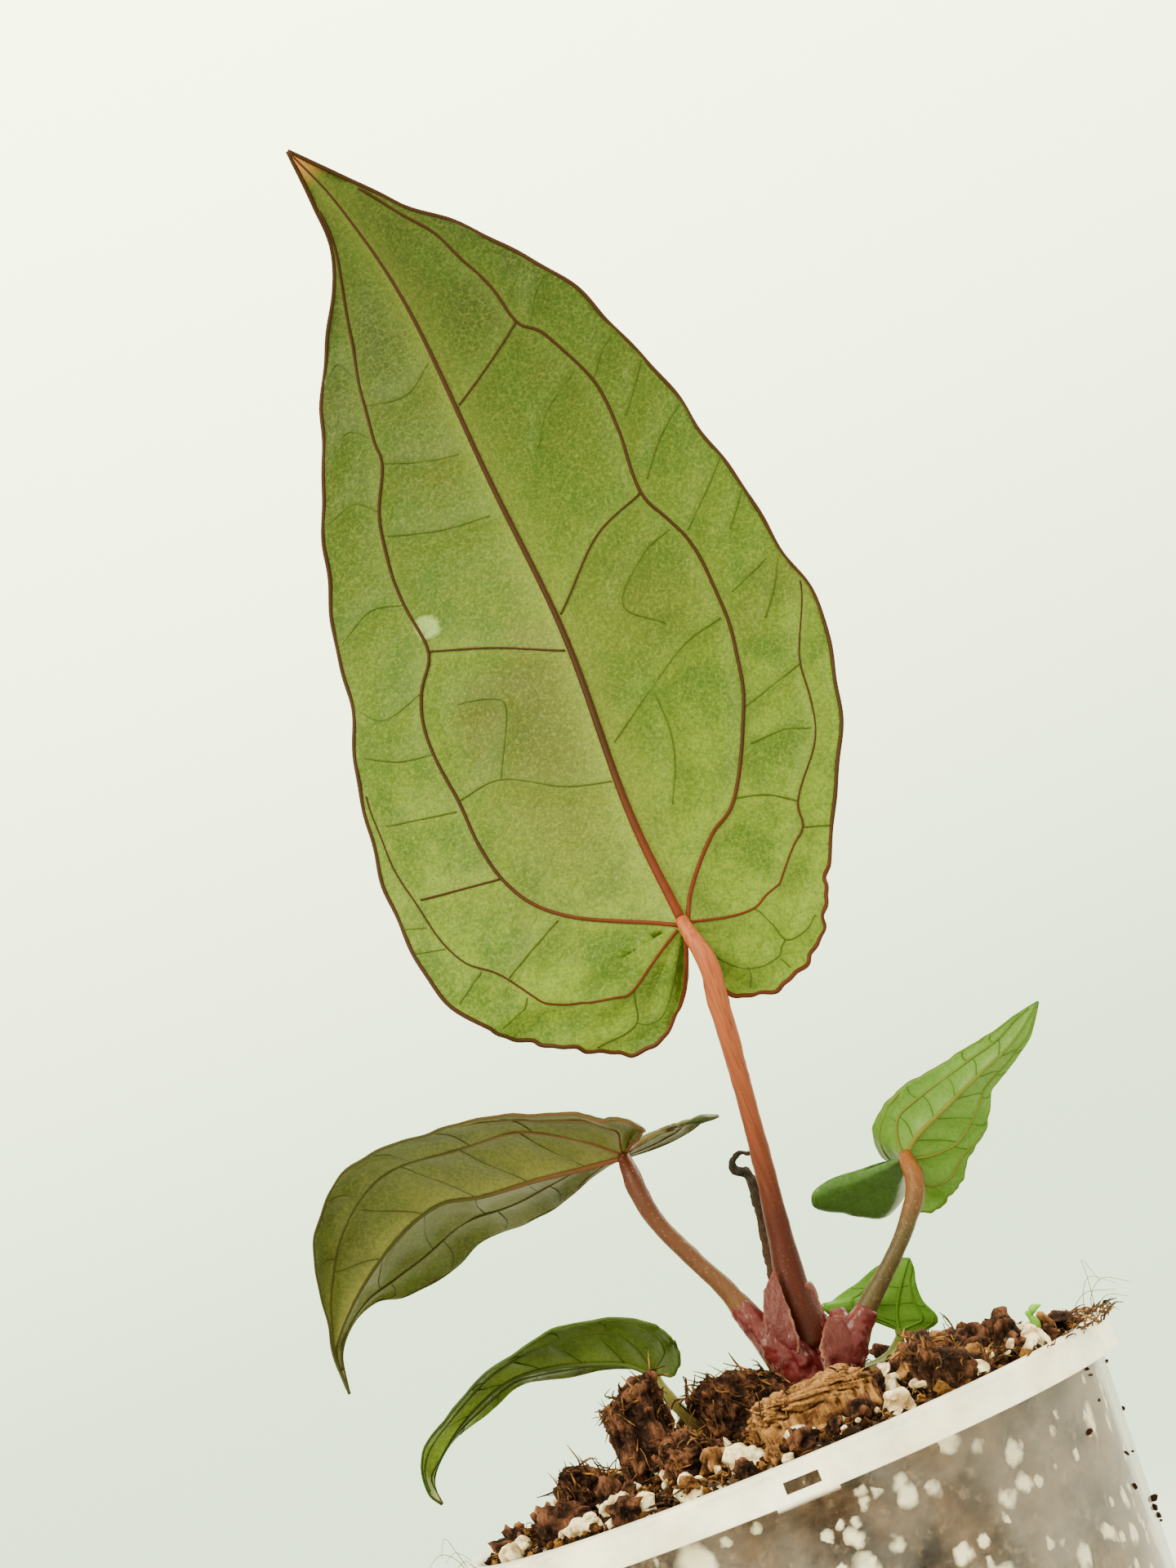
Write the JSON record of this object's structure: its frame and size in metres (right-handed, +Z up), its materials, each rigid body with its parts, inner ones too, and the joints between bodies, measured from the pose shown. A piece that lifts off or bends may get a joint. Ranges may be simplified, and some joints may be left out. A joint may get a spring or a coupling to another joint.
{
  "type": "potted anthurium",
  "caption": "Young anthurium with one tall upright leaf and smaller leaves round it, growing in coir and perlite in a clear tapered nursery pot with a collar.",
  "frame": {"origin": "centre of the underside of the pot's floor, where it stands", "axes": "+Z up along the pot's axis; +X to the right and +Y away when the undersides of the leaves are seen from the front"},
  "size_m": [0.1078, 0.0904, 0.2696],
  "materials": {
    "pot_plastic": "thin clear polypropylene, frosted by fine scuffs and damp",
    "potting_mix": "damp coir crumbs and fine bark, matt",
    "coir_husk": "fibrous dark coconut husk",
    "bark": "rough tan bark",
    "perlite": "cream pitted grains",
    "leaf": "leathery green blade with reddish brown veins, satin",
    "petiole": "smooth reddish brown stem",
    "crown": "fleshy red stem and bracts",
    "withered": "dry dark brown",
    "root": "pale fleshy root",
    "shoot": "fresh green shoot"
  },
  "bodies": {
    "root": {"bark_chip": "bark", "bark_slab": "bark", "crown": "crown", "husk_chunk_1": "coir_husk", "husk_chunk_2": "coir_husk", "husk_chunk_3": "coir_husk", "husk_chunk_4": "coir_husk", "husk_chunk_5": "coir_husk", "husk_chunk_6": "coir_husk", "husk_chunk_7": "coir_husk", "leaf_1_blade": "leaf", "leaf_1_petiole": "petiole", "leaf_2_blade": "leaf", "leaf_2_petiole": "petiole", "leaf_3_blade": "leaf", "leaf_3_petiole": "petiole", "leaf_4_blade": "leaf", "leaf_4_petiole": "petiole", "leaf_5_blade": "leaf", "leaf_5_petiole": "petiole", "old_stalk": "withered", "perlite_1": "perlite", "perlite_10": "perlite", "perlite_11": "perlite", "perlite_12": "perlite", "perlite_13": "perlite", "perlite_14": "perlite", "perlite_15": "perlite", "perlite_16": "perlite", "perlite_2": "perlite", "perlite_3": "perlite", "perlite_4": "perlite", "perlite_5": "perlite", "perlite_6": "perlite", "perlite_7": "perlite", "perlite_8": "perlite", "perlite_9": "perlite", "pot": "pot_plastic", "potting_mix": "potting_mix", "root_1": "root", "root_2": "root", "root_3": "root", "root_4": "root", "root_5": "root", "root_6": "root", "seedling": "shoot", "sheath_back": "crown", "sheath_left": "crown", "sheath_right": "crown"}
  },
  "joints": []
}
